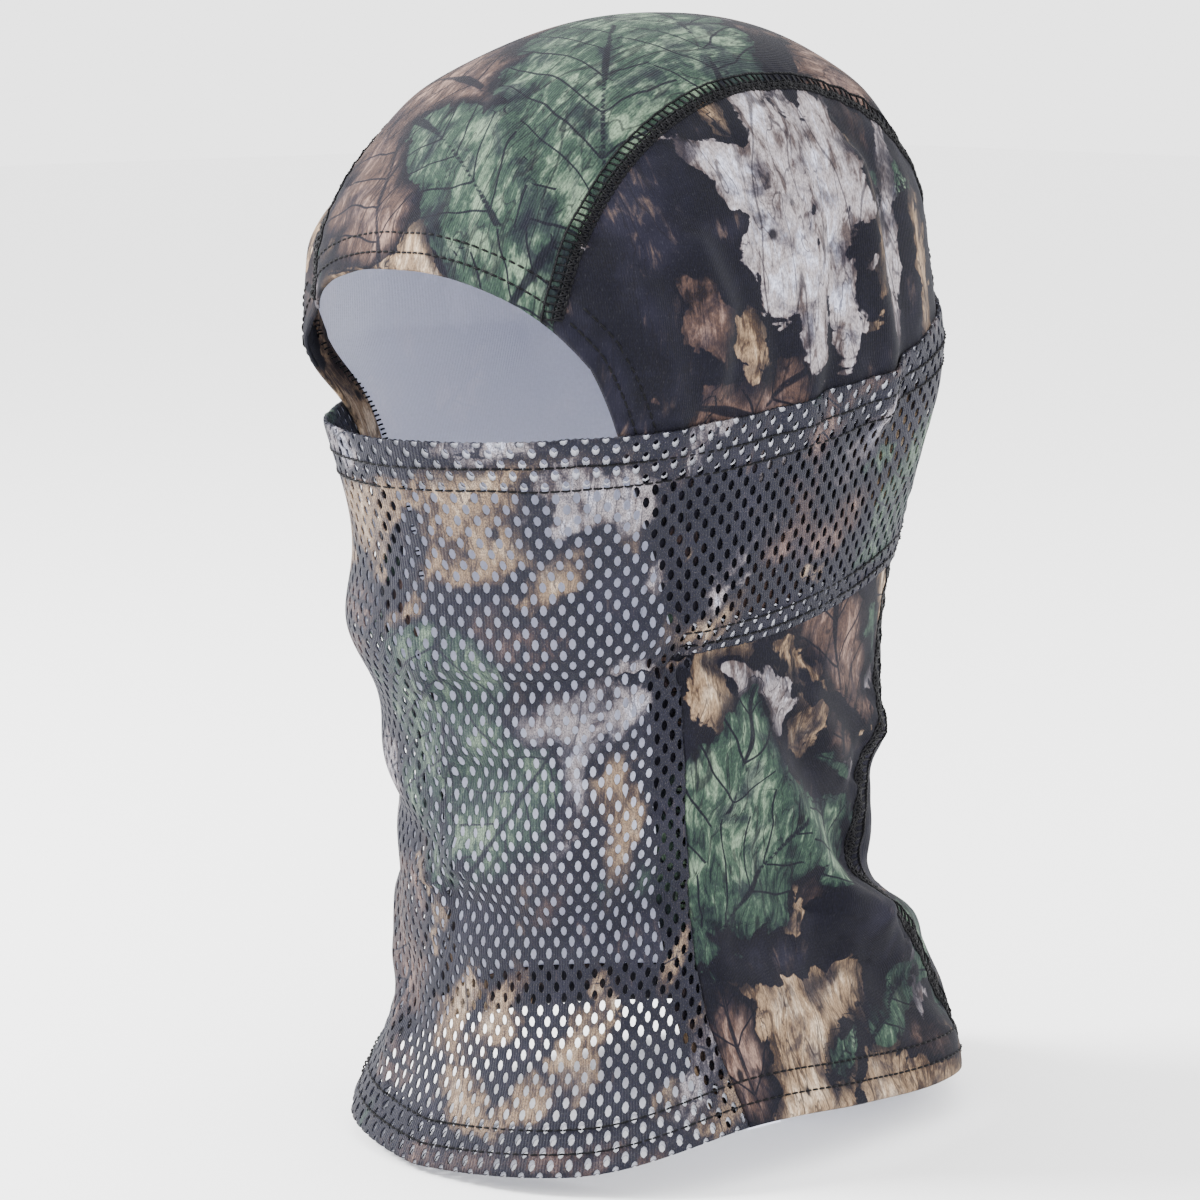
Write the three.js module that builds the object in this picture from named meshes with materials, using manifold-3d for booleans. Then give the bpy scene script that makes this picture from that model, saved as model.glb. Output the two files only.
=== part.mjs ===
// Camouflage balaclava: a close hood of three knitted panels, with an open-mesh face cover that pulls down.
// Millimetres, +Z up. The wearer looks along -Y, and +X is the wearer's left.
// The origin is the inside of the crown, where the top of the head carries the cloth.
import * as THREE from "three";
import { mergeVertices } from "three/addons/utils/BufferGeometryUtils.js";
import Module from "manifold-3d";

const wasm = await Module();
wasm.setup();

// ---- driving dimensions ------------------------------------------------------------------------
const CLOTH = 1.2; // thickness of the knitted and mesh cloths
const SEAM_GAP = 0.3; // between two cloths that a seam joins edge to edge
const THREAD_GAP = 0.3; // between a cloth and the thread that lies on it
const THREAD = 0.5; // height of a thread ridge
const COVER_GAP = THREAD_GAP + THREAD + 0.6; // the cover runs over the threads of the hood
const DOME = 105; // depth of the rounded crown, from its top to the widest level
const AXIS_Y = -12; // the head's axis lies this far in front of the top of the crown
const ROUND_FRONT = 2.05; // superellipse powers of the crown's profile, towards the brow and the nape
const ROUND_BACK = 2.15;
const ROUND_TOP = 2.15; // and of its level sections near the top
const CROWN_HALF = 55; // half the width of the centre panel
const SIDE_LEAST = 8; // what a side panel keeps of the neck's half width beside the centre panel
const LAP = 4; // the neck mesh reaches this far up behind the cover
const TRAVEL = 80; // how far the cover pulls down, from the nose to the chin
const NOSE_RISE = 12; // how far the cover stands out over the nose
const NOSE_LEVEL = -132;
const NOSE_WIDE = 0.5; // radians
const NOSE_TALL = 38;
const HEM_NEAR = 5; // the double-needle hem's rows lie between these distances from an edge
const HEM_FAR = 12;
const SEAM_THREAD = 6; // width of a cover-stitched or overlocked seam

// Half width, front reach and back reach of the hood from the axis, and the superellipse power of its
// section, at each level below the dome.
const LEVELS = [-DOME, -140, -170, -200, -235, -275, -288, -302, -316, -335, -365];
const HALF_WIDTH = [86, 80, 76, 72, 68, 66, 67, 69, 72, 80, 94];
const FRONT = [100, 90, 88, 86, 82, 79, 78, 76, 76, 81, 95];
const BACK = [102, 98, 93, 90, 86, 84, 92, 110, 119, 125, 129];
const SQUARENESS = [2.4, 2.2, 2.1, 2.1, 2.1, 2.1, 2.1, 2.1, 2.1, 2.1, 2.1];

// Edges by bearing, in degrees from the face (0) round to the nape (180).
const BEARINGS = [0, 40, 75, 110, 135, 160, 180];
const NECK_HEM = [-360, -355, -344, -346, -350, -352, -352];
const COVER_TOP = [-128, -126, -120, -110, -98, -88, -84];
const COVER_LOW = [-198, -198, -194, -184, -176, -172, -170];

// The edge of the face opening and, below the jaw, the seam of the neck mesh, seen from the side.
const BROW_TOP = new THREE.Vector2(-116, -71);
const OPENING_SIDE = [BROW_TOP, [-106, -80], [-93, -96], [-78, -122], [-62, -162], [-50, -206]]
  .map((p) => (Array.isArray(p) ? new THREE.Vector2(...p) : p));
const JOIN_SIDE = [[-45, -245], [-41, -295], [-35, -345], [-32, -385]].map((p) => new THREE.Vector2(...p));
const JAW = COVER_LOW[0] + LAP; // top edge of the neck mesh

// ---- mesh density ------------------------------------------------------------------------------
const AROUND = 44;
const DOME_RINGS = 8;
const WALL_RINGS = 13;
const COVER_RINGS = 4;
const BIG = 600; // a cutter larger than the whole hood

// ---- shape of the worn hood --------------------------------------------------------------------
// A smooth curve through (xs, ys), for any order of xs, with the slope at each point taken from its neighbours.
function through(xs, ys, x) {
  const down = xs[0] > xs[xs.length - 1];
  let k = xs.findIndex((v) => (down ? v <= x : v >= x));
  if (k === -1) return ys[ys.length - 1];
  if (k === 0) return ys[0];
  k -= 1;
  const slope = (i) => {
    const lo = Math.max(0, i - 1);
    const hi = Math.min(xs.length - 1, i + 1);
    return (ys[hi] - ys[lo]) / (xs[hi] - xs[lo]);
  };
  const span = xs[k + 1] - xs[k];
  const t = (x - xs[k]) / span;
  const tt = t * t;
  const ttt = tt * t;
  return (
    (2 * ttt - 3 * tt + 1) * ys[k] +
    (ttt - 2 * tt + t) * span * slope(k) +
    (3 * tt - 2 * ttt) * ys[k + 1] +
    (ttt - tt) * span * slope(k + 1)
  );
}

const bearing = (theta) => (Math.acos(Math.cos(theta)) * 180) / Math.PI;
const edge = (list, theta) => through(BEARINGS, list, bearing(theta));

// Distance from the axis to the hood's outer face.
function hoodRadius(theta, z, n = through(LEVELS, SQUARENESS, z)) {
  const wide = through(LEVELS, HALF_WIDTH, z);
  const long = through(LEVELS, Math.cos(theta) > 0 ? FRONT : BACK, z);
  return (Math.abs(Math.sin(theta) / wide) ** n + Math.abs(Math.cos(theta) / long) ** n) ** (-1 / n);
}

const onAxis = (theta, radius, z, y = AXIS_Y) =>
  new THREE.Vector3(radius * Math.sin(theta), y - radius * Math.cos(theta), z);

// Outer face of the crown: fall is 0 at the top and 1 at the widest level.
function domePoint(theta, fall) {
  const power = ROUND_FRONT + ((ROUND_BACK - ROUND_FRONT) * (1 - Math.cos(theta))) / 2;
  const angle = (fall * Math.PI) / 2;
  const out = Math.sin(angle) ** (2 / power);
  const down = 1 - Math.cos(angle) ** (2 / power);
  const forward = AXIS_Y * (1 - (1 - down) ** 2);
  const n = ROUND_TOP + (SQUARENESS[0] - ROUND_TOP) * down ** 2;
  return onAxis(theta, out * hoodRadius(theta, -DOME, n), CLOTH - down * (DOME + CLOTH), forward);
}

// Widest hood that the cover meets from just above this level to the end of its travel.
function clearRadius(theta, z) {
  const step = TRAVEL / 8;
  let most = 0;
  for (let d = -step; d <= TRAVEL; d += step) most = Math.max(most, hoodRadius(theta, Math.min(z - d, -DOME)));
  return most;
}

function coverPoint(theta, z) {
  const side = Math.atan2(Math.sin(theta), Math.cos(theta)) / NOSE_WIDE;
  const up = (z - NOSE_LEVEL) / NOSE_TALL;
  const nose = NOSE_RISE * Math.exp(-side * side - up * up);
  return onAxis(theta, clearRadius(theta, z) + COVER_GAP + CLOTH + nose, z);
}

// Rings of the hood from its top to its hem, and of the cover from its top to its low edge.
const hoodRings = [
  ...Array.from({ length: DOME_RINGS }, (_, k) => (theta) => domePoint(theta, k / DOME_RINGS)),
  ...Array.from({ length: WALL_RINGS + 1 }, (_, k) => (theta) => {
    const z = -DOME + ((edge(NECK_HEM, theta) + HEM_FAR + DOME) * k) / WALL_RINGS;
    return onAxis(theta, hoodRadius(theta, z), z);
  }),
  ...[HEM_NEAR, 0].map((up) => (theta) => {
    const z = edge(NECK_HEM, theta) + up;
    return onAxis(theta, hoodRadius(theta, z), z);
  }),
];
const coverRings = [
  ...[0, HEM_NEAR, HEM_FAR].map((down) => (theta) => coverPoint(theta, edge(COVER_TOP, theta) - down)),
  ...Array.from({ length: COVER_RINGS }, (_, k) => (theta) => {
    const from = edge(COVER_TOP, theta) - HEM_FAR;
    const to = edge(COVER_LOW, theta) + HEM_FAR;
    return coverPoint(theta, from + ((to - from) * (k + 1)) / COVER_RINGS);
  }),
  ...[HEM_NEAR, 0].map((up) => (theta) => coverPoint(theta, edge(COVER_LOW, theta) + up)),
];

// ---- solids ------------------------------------------------------------------------------------
function manifold(geometry) {
  const bare = geometry.index ? geometry.toNonIndexed() : geometry.clone();
  for (const name of Object.keys(bare.attributes)) if (name !== "position") bare.deleteAttribute(name);
  const merged = mergeVertices(bare, 1e-3);
  const solid = new wasm.Manifold(
    new wasm.Mesh({
      numProp: 3,
      vertProperties: merged.attributes.position.array,
      triVerts: new Uint32Array(merged.index.array),
    }),
  );
  return solid;
}

function geometry(solid) {
  const mesh = solid.getMesh();
  const made = new THREE.BufferGeometry();
  made.setAttribute("position", new THREE.BufferAttribute(new Float32Array(mesh.vertProperties), 3));
  made.setIndex(new THREE.BufferAttribute(new Uint32Array(mesh.triVerts), 1));
  return made;
}

// A closed skin round the axis, made as a lathe and then moved out to the rings. Its faces lie from
// inside to outside millimetres off the rings.
function skin(rings, inside, outside) {
  const grid = Array.from({ length: AROUND }, (_, i) => rings.map((ring) => ring((2 * Math.PI * i) / AROUND)));
  const at = (i, k) => grid[(i + AROUND) % AROUND][k];
  const onAxisTop = grid[0][0].distanceTo(grid[AROUND / 2][0]) < 1e-6;
  const normal = (i, k) => {
    if (onAxisTop && k === 0) return new THREE.Vector3(0, 0, 1);
    const along = at(i + 1, k).clone().sub(at(i - 1, k));
    const up = at(i, Math.max(0, k - 1)).clone().sub(at(i, Math.min(rings.length - 1, k + 1)));
    return along.cross(up).normalize();
  };
  const order = [...rings.keys()];
  const path = [
    ...order.map((k) => [k, inside]),
    ...order.reverse().map((k) => [k, outside]),
  ];
  if (!onAxisTop) path.push(path[0]);
  const lathe = new THREE.LatheGeometry(path.map(() => new THREE.Vector2(1, 0)), AROUND);
  // The outer faces are split along the same diagonal as the inner ones, so that skins nest.
  const faces = lathe.index;
  for (let quad = 0; quad < faces.count; quad += 6) {
    if ((quad / 6) % (path.length - 1) < rings.length) continue;
    const [a, b, d, c] = [0, 1, 2, 3].map((k) => faces.getX(quad + k));
    [a, b, c, a, c, d].forEach((v, k) => faces.setX(quad + k, v));
  }
  const place = lathe.attributes.position;
  for (let i = 0; i <= AROUND; i++)
    path.forEach(([k, off], j) => {
      const p = at(i % AROUND, k).clone().addScaledVector(normal(i % AROUND, k), off);
      place.setXYZ(i * path.length + j, p.x, p.y, p.z);
    });
  return manifold(lathe);
}

function block(x0, x1, z0 = -BIG, z1 = BIG) {
  return manifold(new THREE.BoxGeometry(x1 - x0, 2 * BIG, z1 - z0).translate((x0 + x1) / 2, 0, (z0 + z1) / 2));
}

// Everything in front of the face opening's edge and the neck mesh's seams, grown by this much.
function faceRegion(grow) {
  const line = [...OPENING_SIDE, ...JOIN_SIDE];
  const moved = line.map((p, i) => {
    const before = line[Math.max(0, i - 1)];
    const after = line[Math.min(line.length - 1, i + 1)];
    const way = after.clone().sub(before).normalize();
    return new THREE.Vector2(p.x - way.y * grow, p.y + way.x * grow);
  });
  const last = moved[moved.length - 1];
  const outline = new THREE.Shape();
  outline.moveTo(-BIG, moved[0].y + BIG / 4);
  outline.lineTo(moved[0].x - BIG / 4, moved[0].y + BIG / 4);
  outline.lineTo(moved[0].x, moved[0].y);
  outline.splineThru(moved.slice(1));
  outline.lineTo(last.x, -BIG);
  outline.lineTo(-BIG, -BIG);
  const solid = new THREE.ExtrudeGeometry(outline, { depth: 2 * BIG, bevelEnabled: false, curveSegments: 24 });
  solid.translate(0, 0, -BIG);
  // The outline's x and y become the object's Y and Z.
  solid.applyMatrix4(
    new THREE.Matrix4().makeBasis(
      new THREE.Vector3(0, 1, 0),
      new THREE.Vector3(0, 0, 1),
      new THREE.Vector3(1, 0, 0),
    ),
  );
  return manifold(solid);
}

const hood = skin(hoodRings, -CLOTH, 0);
const hoodThread = skin(hoodRings, THREAD_GAP, THREAD_GAP + THREAD);
const liningThread = skin(hoodRings, -CLOTH - THREAD_GAP - THREAD, -CLOTH - THREAD_GAP);
const half = SEAM_GAP / 2;
const cloth = hood.subtract(faceRegion(half));
const meshSide = faceRegion(-half);
const hemBand = faceRegion(HEM_FAR).subtract(faceRegion(HEM_NEAR));
// The centre panel never reaches the sides of the neck, or the side panels would fall apart there.
const SEAM_X = Math.min(CROWN_HALF, Math.min(...HALF_WIDTH) - SIDE_LEAST);
const edgeX = SEAM_X + SEAM_THREAD / 2 + THREAD_GAP; // hem rows stop at the crown seams' threads
const hemLine = Math.max(...NECK_HEM) + HEM_FAR + THREAD_GAP; // seam threads stop above the neck hem's rows
const joinTop = JAW - THREAD_GAP;

const solids = {
  crown_panel: cloth.intersect(block(-SEAM_X + half, SEAM_X - half)),
  left_side_panel: cloth.intersect(block(SEAM_X + half, BIG)),
  right_side_panel: cloth.intersect(block(-BIG, -SEAM_X - half)),
  neck_mesh_panel: hood.intersect(meshSide).intersect(block(-BIG, BIG, -BIG, JAW)),
};

// Cover-stitch along the crown seams and the double-needle rows of the eye opening.
const aboveHem = hoodThread.subtract(faceRegion(half)).intersect(block(-BIG, BIG, hemLine, BIG));
const wide = SEAM_THREAD / 2;
solids.left_crown_seam_thread = aboveHem.intersect(block(SEAM_X - wide, SEAM_X + wide));
solids.right_crown_seam_thread = aboveHem.intersect(block(-SEAM_X - wide, -SEAM_X + wide));
const openingRows = hoodThread.intersect(hemBand).intersect(block(-BIG, BIG, JAW, BIG));
const inner = SEAM_X - wide - THREAD_GAP;
solids.brow_hem_thread = openingRows.intersect(block(-inner, inner));
solids.left_eye_hem_thread = openingRows.intersect(block(edgeX, BIG));
solids.right_eye_hem_thread = openingRows.intersect(block(-BIG, -edgeX));

// Overlock inside the seams that join the neck mesh to the side panels.
const joinBand = liningThread
  .intersect(faceRegion(wide).subtract(faceRegion(-wide)))
  .intersect(block(-BIG, BIG, hemLine, joinTop));
solids.left_join_thread = joinBand.intersect(block(0, BIG));
solids.right_join_thread = joinBand.intersect(block(-BIG, 0));

// The neck hem's rows run right round the bottom.
const hemFarRing = hoodRings.length - 3;
solids.neck_hem_thread = skin(hoodRings.slice(hemFarRing, hemFarRing + 2), THREAD_GAP, THREAD_GAP + THREAD);

// The face cover: one mesh cloth whose two arms are sewn together at the back of the head.
const armRegion = faceRegion(half);
const backSlit = block(-half, half).subtract(armRegion);
solids.face_mesh_cover = skin(coverRings, -CLOTH, 0).subtract(backSlit);
solids.cover_top_hem_thread = skin(coverRings.slice(1, 3), THREAD_GAP, THREAD_GAP + THREAD);
const lowRing = coverRings.length - 3;
const lowRows = skin(coverRings.slice(lowRing, lowRing + 2), THREAD_GAP, THREAD_GAP + THREAD).subtract(armRegion);
const backGap = wide + THREAD_GAP;
solids.left_cover_hem_thread = lowRows.intersect(block(backGap, BIG));
solids.right_cover_hem_thread = lowRows.intersect(block(-BIG, -backGap));
const coverBack = skin(coverRings.slice(2, lowRing + 3), THREAD_GAP, THREAD_GAP + THREAD);
const topRows = COVER_TOP[COVER_TOP.length - 1] - HEM_FAR - THREAD_GAP;
solids.cover_back_seam_thread = coverBack.subtract(armRegion).intersect(block(-wide, wide, -BIG, topRows));

// ---- colours and the finished group ------------------------------------------------------------
const FINISH = {
  knit: { color: 0x5a5143, roughness: 0.92, metalness: 0 },
  mesh: { color: 0x4b4a4c, roughness: 0.85, metalness: 0 },
  thread: { color: 0x0c0c10, roughness: 0.7, metalness: 0 },
};
const finishOf = (name) => (name.endsWith("thread") ? "thread" : name.includes("mesh") ? "mesh" : "knit");

const balaclava = new THREE.Group();
for (const [name, solid] of Object.entries(solids)) {
  const piece = new THREE.Mesh(geometry(solid), new THREE.MeshStandardMaterial(FINISH[finishOf(name)]));
  piece.name = name;
  balaclava.add(piece);
}

export default balaclava;
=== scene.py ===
"""Camouflage balaclava: printed knit hood, open-mesh face cover and black seams, worn shape.

Sizes are in millimetres and become metres where a mesh is written. +Z is up and the wearer faces -Y.
"""
import math

import bmesh
import bpy
import numpy as np
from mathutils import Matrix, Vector


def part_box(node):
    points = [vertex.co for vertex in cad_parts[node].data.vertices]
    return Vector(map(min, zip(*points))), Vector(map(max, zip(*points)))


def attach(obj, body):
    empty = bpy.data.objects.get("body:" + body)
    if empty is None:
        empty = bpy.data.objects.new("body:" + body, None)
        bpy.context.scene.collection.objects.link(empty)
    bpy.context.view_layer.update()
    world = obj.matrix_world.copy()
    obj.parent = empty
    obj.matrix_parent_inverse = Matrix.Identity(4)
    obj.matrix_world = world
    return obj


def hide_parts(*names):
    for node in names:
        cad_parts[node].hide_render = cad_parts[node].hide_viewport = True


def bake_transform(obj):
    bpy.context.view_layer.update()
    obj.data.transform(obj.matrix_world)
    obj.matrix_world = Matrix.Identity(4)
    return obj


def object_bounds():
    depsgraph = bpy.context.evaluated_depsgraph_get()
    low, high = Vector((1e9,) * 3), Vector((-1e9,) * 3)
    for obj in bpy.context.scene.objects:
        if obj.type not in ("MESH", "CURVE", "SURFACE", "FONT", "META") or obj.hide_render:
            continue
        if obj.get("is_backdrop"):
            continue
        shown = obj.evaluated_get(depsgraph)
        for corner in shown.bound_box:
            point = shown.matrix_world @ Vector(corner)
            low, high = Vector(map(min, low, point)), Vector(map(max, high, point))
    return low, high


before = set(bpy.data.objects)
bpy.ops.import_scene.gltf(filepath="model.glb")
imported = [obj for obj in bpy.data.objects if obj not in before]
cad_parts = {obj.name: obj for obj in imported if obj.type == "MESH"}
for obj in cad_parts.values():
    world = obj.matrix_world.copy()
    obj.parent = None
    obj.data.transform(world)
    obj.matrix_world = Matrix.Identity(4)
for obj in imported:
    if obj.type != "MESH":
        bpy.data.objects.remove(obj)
cad_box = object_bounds()

MM = 0.001

# ---- shape of the worn hood ----------------------------------------------------------------------
CROWN_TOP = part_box("crown_panel")[1][2] / MM
DOME = 105.0  # depth of the rounded crown
AXIS_Y = -12.0  # the head's axis lies this far in front of the top of the crown
ROUND_FRONT, ROUND_BACK, ROUND_TOP = 2.05, 2.15, 2.15  # superellipse powers of the crown
CROWN_HALF = 55.0  # half the width of the centre panel, straight across
NOSE_RISE, NOSE_LEVEL, NOSE_WIDE, NOSE_TALL = 12.0, -132.0, 0.5, 38.0

LEVELS = [-105, -140, -170, -200, -235, -275, -288, -302, -316, -335, -365]
HALF_WIDTH = [86, 80, 76, 72, 68, 66, 67, 69, 72, 80, 94]
FRONT = [100, 90, 88, 86, 82, 79, 78, 76, 76, 81, 95]
BACK = [102, 98, 93, 90, 86, 84, 92, 110, 119, 125, 129]
SQUARENESS = [2.4, 2.2, 2.1, 2.1, 2.1, 2.1, 2.1, 2.1, 2.1, 2.1, 2.1]

# Edges by bearing, in degrees from the face (0) round to the nape (180).
BEARINGS = [0, 40, 75, 110, 135, 160, 180]
NECK_HEM = [-360, -355, -344, -346, -350, -352, -352]
COVER_TOP = [-128, -126, -120, -110, -98, -88, -84]
COVER_LOW = [-198, -198, -194, -184, -176, -172, -170]

# The eye opening's edge, and below the jaw the seam of the neck mesh, seen from the side.
EDGE_LEVELS = [-71, -80, -96, -122, -162, -206, -245, -295, -345, -385]
EDGE_FORWARD = [-116, -106, -93, -78, -62, -50, -45, -41, -35, -32]
JAW = -196.0

KNIT_THICK = 0.7
MESH_THICK = 0.5
FOLD_ROUND = 0.8  # radius of a hem's folded edge
HEM = 15.0  # depth of a hem
ALLOWANCE = 9.5  # the side panels' seam allowance behind the neck mesh
SEAM_LAP = 0.5  # the centre panel's edges run this far under the side panels
SIDE_WIDTH, SIDE_HEIGHT = 130.0, 300.0  # a side panel's mean size, for the depth of its hems
COVER_LIFT = 1.7  # the cover lies this far outside the hood
GIRTH = 92.0  # millimetres of mesh cloth for each radian of bearing
HOLE_ACROSS, HOLE_DOWN = 6.0, 7.1  # spacing of the mesh's staggered holes
HOLE_RIM = 0.48  # the rim's share of the way from a cell's edge to its middle
HOLE_NARROW, HOLE_TALL = 0.94, 1.07  # how a hole is pulled narrower and taller than its cell
MESH_LENGTH = 232.0  # of the mesh front, from its folded top to its folded bottom
MESH_FALL = 0.966  # fall in level for each millimetre down the mesh front, at the join's bearing
JOIN_BEARING = 1.1  # the join's bearing at the jaw, in radians
CELLS = 190  # cells along each side of the grid that the mesh cloths are cut from
CELLS_MIDDLE = 114.3  # the grid's middle lies this far below the mesh's top edge

# ---- sewing --------------------------------------------------------------------------------------
HEM_ROWS = (5.5, 11.5)  # needle rows of the brow and eye hems, from the folded edge
NECK_ROWS = (6.6, 13.4)
COVER_TOP_ROWS = (8.5, 15.5)
COVER_LOW_ROWS = (3.5, 8.5)
COVER_STITCH = 2.4  # stitch pitch of the crown seams
LADDER = 3.2  # the crown seam's ladder reaches this far to both sides
JOIN_END = 14.0  # the joins' threads stop this far short of the bottom edge


def through(xs, ys, x):
    """A smooth curve through the given points, at x."""
    xs, ys = np.asarray(xs, float), np.asarray(ys, float)
    if xs[0] > xs[-1]:
        xs, ys = xs[::-1], ys[::-1]
    last = len(xs) - 1
    before = np.maximum(np.arange(last + 1) - 1, 0)
    after = np.minimum(np.arange(last + 1) + 1, last)
    slope = (ys[after] - ys[before]) / (xs[after] - xs[before])
    x = np.clip(x, xs[0], xs[-1])
    k = np.clip(np.searchsorted(xs, x) - 1, 0, last - 1)
    span = xs[k + 1] - xs[k]
    t = (x - xs[k]) / span
    value = (2 * t**3 - 3 * t**2 + 1) * ys[k] + (t**3 - 2 * t**2 + t) * span * slope[k]
    return value + (3 * t**2 - 2 * t**3) * ys[k + 1] + (t**3 - t**2) * span * slope[k + 1]


def edge(levels, bearing):
    """The level of an edge at a bearing in radians, the same on both sides."""
    return through(BEARINGS, levels, np.abs(np.degrees(bearing)))


def smooth(t):
    """0 below 0, 1 above 1 and an even ease between."""
    t = np.clip(t, 0, 1)
    return t * t * (3 - 2 * t)


def axis_and_reach(bearing, z):
    """Where the head's axis is at a level, and how far from it the cloth lies."""
    down = np.clip((CROWN_TOP - z) / (DOME + CROWN_TOP), 0, 1)
    forward = AXIS_Y * (1 - (1 - down) ** 2)
    ahead = np.cos(bearing)
    bend = ROUND_FRONT + (ROUND_BACK - ROUND_FRONT) * (1 - ahead) / 2
    out = (1 - (1 - down) ** bend) ** (1 / bend)
    level = np.minimum(z, -DOME)
    top_power = ROUND_TOP + (SQUARENESS[0] - ROUND_TOP) * down**2
    power = np.where(z > -DOME, top_power, through(LEVELS, SQUARENESS, level))
    wide = through(LEVELS, HALF_WIDTH, level)
    deep = np.where(ahead > 0, through(LEVELS, FRONT, level), through(LEVELS, BACK, level))
    reach = (np.abs(np.sin(bearing) / wide) ** power + np.abs(ahead / deep) ** power) ** (-1 / power)
    return forward, out * reach


def bearing_of(p):
    down = np.clip((CROWN_TOP - p[:, 2]) / (DOME + CROWN_TOP), 0, 1)
    forward = AXIS_Y * (1 - (1 - down) ** 2)
    return np.arctan2(p[:, 0], forward - p[:, 1])


def cloth_at(bearing, z, extra=0.0):
    forward, reach = axis_and_reach(bearing, z)
    reach = reach + extra
    return np.stack([reach * np.sin(bearing), forward - reach * np.cos(bearing), z], axis=-1)


def spread(p):
    """Distance from the head's axis as a share of the cloth's own distance there."""
    bearing = bearing_of(p)
    forward, reach = axis_and_reach(bearing, p[:, 2])
    return np.hypot(p[:, 0], p[:, 1] - forward) / (reach + 1e-6)


def cast(origin, way):
    """Where rays from inside the hood meet its cloth."""
    near = np.zeros(len(origin))
    far = np.full(len(origin), 300.0)
    for _ in range(28):
        middle = (near + far) / 2
        inside = spread(origin + way * middle[:, None]) < 1
        near = np.where(inside, middle, near)
        far = np.where(inside, far, middle)
    return origin + way * near[:, None]


def outward(p):
    """The direction square to the cloth, away from the head."""
    step = 0.05
    parts = []
    for axis in np.eye(3):
        parts.append(spread(p + step * axis) - spread(p - step * axis))
    normal = np.stack(parts, axis=-1)
    return normal / np.linalg.norm(normal, axis=1, keepdims=True)


# ---- folds ---------------------------------------------------------------------------------------
# Each fold: the bearings and levels it runs through, its rise, and its half width. A fold has a
# hollow half as deep along the side that is on its left as one goes along it, seen from outside.
FOLDS = [
    ([(-44, -36), (-42, -62)], 5.5, 26),
    ([(-46, -80), (-48, -108)], 7.0, 15),
    ([(-56, -194), (-2, -192)], 6.5, 19),
    ([(137, -28), (137, -50)], 3.5, 18),
    ([(137, -124), (137, -146)], 2.4, 16),
    ([(137, -222), (138, -264)], 4.2, 15),
    ([(136, -286), (141, -338)], 5.5, 17),
    ([(110, -48), (108, -84), (112, -122)], 3.4, 6.5),
    ([(60, -70), (66, -88), (64, -112)], 2.4, 4.5),
    ([(50, -82), (57, -118)], 1.9, 4.5),
    ([(74, -48), (80, -112)], -1.9, 5),
    ([(88, -36), (92, -80)], 1.6, 6),
    ([(96, -70), (94, -116)], -1.6, 6),
    ([(8, -28), (34, -64)], 1.5, 5),
    ([(20, -72), (44, -84)], -1.4, 4),
    ([(-24, -58), (8, -66)], 1.3, 6),
    ([(-10, -84), (22, -88)], 1.1, 5),
    ([(66, -212), (88, -234), (106, -262), (128, -292)], 5.0, 8),
    ([(76, -204), (98, -214), (122, -240)], 2.6, 6),
    ([(104, -208), (126, -226), (150, -238)], 2.4, 7),
    ([(72, -252), (92, -274), (108, -284)], -2.6, 7),
    ([(80, -286), (112, -300)], -2.8, 8),
    ([(116, -288), (150, -300)], 3.6, 9),
    ([(74, -302), (100, -318), (124, -330)], 1.9, 7),
    ([(8, -208), (36, -204), (60, -194)], -2.8, 5),
    ([(10, -234), (40, -224)], -2.8, 6),
    ([(2, -276), (30, -286), (54, -272)], -3.4, 7),
    ([(16, -254), (46, -247)], 2.0, 8),
    ([(-34, -248), (-4, -262)], -2.8, 8),
    ([(22, -310), (52, -322)], 1.6, 7),
    ([(-40, -286), (-24, -330)], 2.4, 8),
    ([(30, -146), (52, -150)], 1.4, 7),
    ([(20, -170), (54, -180)], -1.3, 6),
]
MM_PER_DEGREE = 1.5


def loose_folds():
    """Slack round the neck and over the head: soft slanting folds, the same at every run."""
    chance = np.random.default_rng(11)
    folds = []
    for _ in range(26):
        bearing = chance.uniform(-175, 175)
        level = chance.uniform(-330, -210)
        slant = chance.uniform(14, 34) * (1 if bearing > 0 else -1)
        drop = chance.uniform(-34, 10)
        rise = chance.uniform(0.6, 1.6) * (1 if chance.random() < 0.6 else -1)
        folds.append(([(bearing, level), (bearing + slant, level + drop)], rise, chance.uniform(5, 9)))
    for _ in range(18):
        bearing = chance.uniform(-170, 170)
        level = chance.uniform(-120, -45)
        end = (bearing + chance.uniform(-8, 8), level - chance.uniform(18, 44))
        folds.append(([(bearing, level), end], chance.uniform(-0.9, 1.0), chance.uniform(4, 8)))
    return folds


ALL_FOLDS = FOLDS + loose_folds()


def beside_fold(a, b, points):
    """Signed distance from a fold's line; positive on its left side seen from outside."""
    nearest = np.full(len(a), 1e9)
    signed = np.zeros(len(a))
    for start, end in zip(points, points[1:]):
        from_a, from_b = start[0] * MM_PER_DEGREE, start[1]
        run_a, run_b = end[0] * MM_PER_DEGREE - from_a, end[1] - from_b
        t = np.clip(((a - from_a) * run_a + (b - from_b) * run_b) / (run_a**2 + run_b**2), 0, 1)
        away = np.hypot(a - from_a - t * run_a, b - from_b - t * run_b)
        side = (b - from_b) * run_a - (a - from_a) * run_b
        closer = away < nearest
        nearest = np.where(closer, away, nearest)
        signed = np.where(closer, np.where(side < 0, -away, away), signed)
    return nearest, signed


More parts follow.
